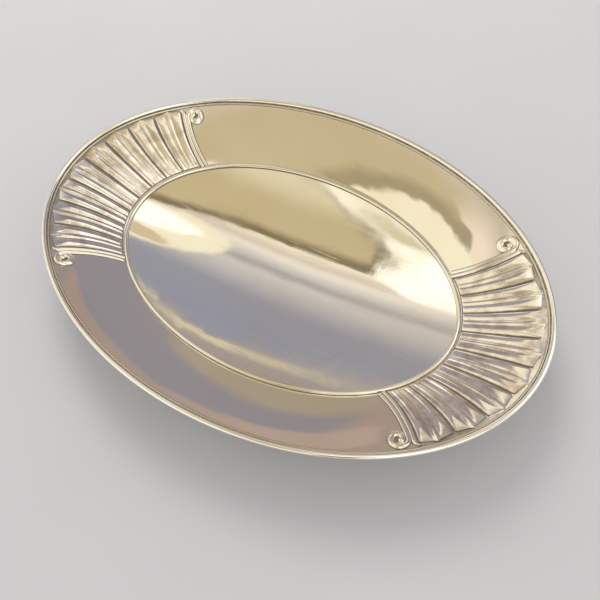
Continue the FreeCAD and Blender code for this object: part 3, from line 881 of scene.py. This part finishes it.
# Shelves on the far side, along lines that curve with the well: the shade under them, their front and a fine line
aside, upward = straight_x * 10 + 3.8, straight_y * 10 - 6.2
shelf = aside * 1.5 + upward * 7 + aside * aside * 60 + aside * upward * 27 - 1 + sway * 0.25
shelves = between(straight_y, (0.565, 0.60), (0.68, 0.69)) * (1 - room.band(x, -0.30, -0.26))
shelves = shelves * (room.band(straight_x, -0.3985, -0.390) * 0.55 + 0.45)
colour = room.blend(shelves * room.band(shelf, -0.35, -0.10), colour, SHELF_SHADE)
colour = room.blend(shelves * between(shelf, (0.0, 0.25), (0.65, 1.0)), colour, SHELF_FRONT)
colour = room.blend(shelves * between(shelf, (1.7, 1.9), (2.1, 2.4)), colour, SHELF_LINE)

# Below them a brown chest and its shade
far_low = room.band(y, 0.60, 0.64) * (1 - room.band(z, 0.60, 0.64))
chest = far_low * (1 - room.band(y + x * 0.325, 0.655, 0.675))
colour = room.blend(chest, colour, BROWN_CHEST)
chest_shade = far_low * room.band(y - x * 0.43, 1.035, 1.060) * (1 - room.band(x, -0.37, -0.32))
colour = room.blend(chest_shade, colour, BROWN_SHADE)

# A cream patch, a brown spot and windows further out
for middle, half, soft, shade in (
        ((-0.495, 0.570), (0.078, 0.160), 0.15, CREAM_BAY),
        ((-0.455, 0.797), (0.040, 0.016), 0.50, BROWN_SPOT),
        ((0.050, 0.560), (0.210, 0.085), 0.10, DAYLIGHT),
        ((0.740, -0.500), (0.280, 0.360), 0.15, DAYLIGHT),
        ((0.500, 0.480), (0.370, 0.220), 0.15, DAYLIGHT),
        ((0.300, -0.400), (0.260, 0.300), 0.20, DAYLIGHT)):
    colour = room.blend(patch(middle, half, soft), colour, shade)

# Daylight low down all round but for the far side, and the doorway to the right
skyline = 1 - room.band(z + room.band(x, -0.60, -0.75) * 0.16, 0.28, 0.42)
skyline = skyline * (1 - room.band(y, 0.64, 0.74) * room.band(x, -0.61, -0.55))
colour = room.blend(skyline, colour, DAYLIGHT)
doorway = between(x, (0.25, 0.31), (0.44, 0.50)) * (1 - room.band(y, -0.66, -0.60))
colour = room.blend(doorway, colour, DARK_DOORWAY)

# Only the silver's reflections show the room
mirrored = room.node("ShaderNodeLightPath", {}, {}, "Is Glossy Ray")
seen = room.node("ShaderNodeLightPath", {}, {}, "Is Camera Ray")
colour = room.blend(mirrored, EVEN_WHITE, colour)
colour = room.blend(seen, colour, BACKDROP)
background = room.node("ShaderNodeBackground", {}, {"Color": colour, "Strength": 1.0})
room.node("ShaderNodeOutputWorld", {}, {"Surface": background})

LAMP_DISTANCE = 1.6
LAMP_WIDTH = 0.7
LAMP_WATTS = 8.5
lamp = bpy.data.lights.new("wide_lamp", "AREA")
lamp.size = LAMP_WIDTH
lamp.energy = LAMP_WATTS
lamp.color = (1.0, 0.98, 0.95)
holder = bpy.data.objects.new("wide_lamp", lamp)
bpy.context.scene.collection.objects.link(holder)
direction = Vector((-0.45, 0.50, 0.85)).normalized()
lamp_turn = direction.to_track_quat("Z", "Y").to_matrix().to_4x4()
holder.matrix_world = Matrix.Translation(direction * LAMP_DISTANCE) @ lamp_turn
holder.visible_camera = False
holder.visible_glossy = False


# Camera. A hand-held view from above the front right of the dish, tilted well over, at about the length of an arm. Its
# place is in metres from the middle of the foot.

LENS_MM = 40.74
SENSOR_MM = 36
CAMERA_PLACE = (0.1516, -0.1750, 0.3587)
camera_right = Vector((0.84758, 0.52493, -0.07778))
camera_up = Vector((-0.41727, 0.74983, 0.51347))
camera_back = camera_right.cross(camera_up)
lens = bpy.data.cameras.new("camera")
lens.lens = LENS_MM
lens.sensor_width = SENSOR_MM
lens.clip_start = 0.01
lens.clip_end = 20
camera = bpy.data.objects.new("camera", lens)
bpy.context.scene.collection.objects.link(camera)
camera_turn = Matrix((camera_right, camera_up, camera_back)).transposed().to_4x4()
camera.matrix_world = Matrix.Translation(CAMERA_PLACE) @ camera_turn
bpy.context.scene.camera = camera
bpy.context.scene.view_settings.view_transform = "Standard"
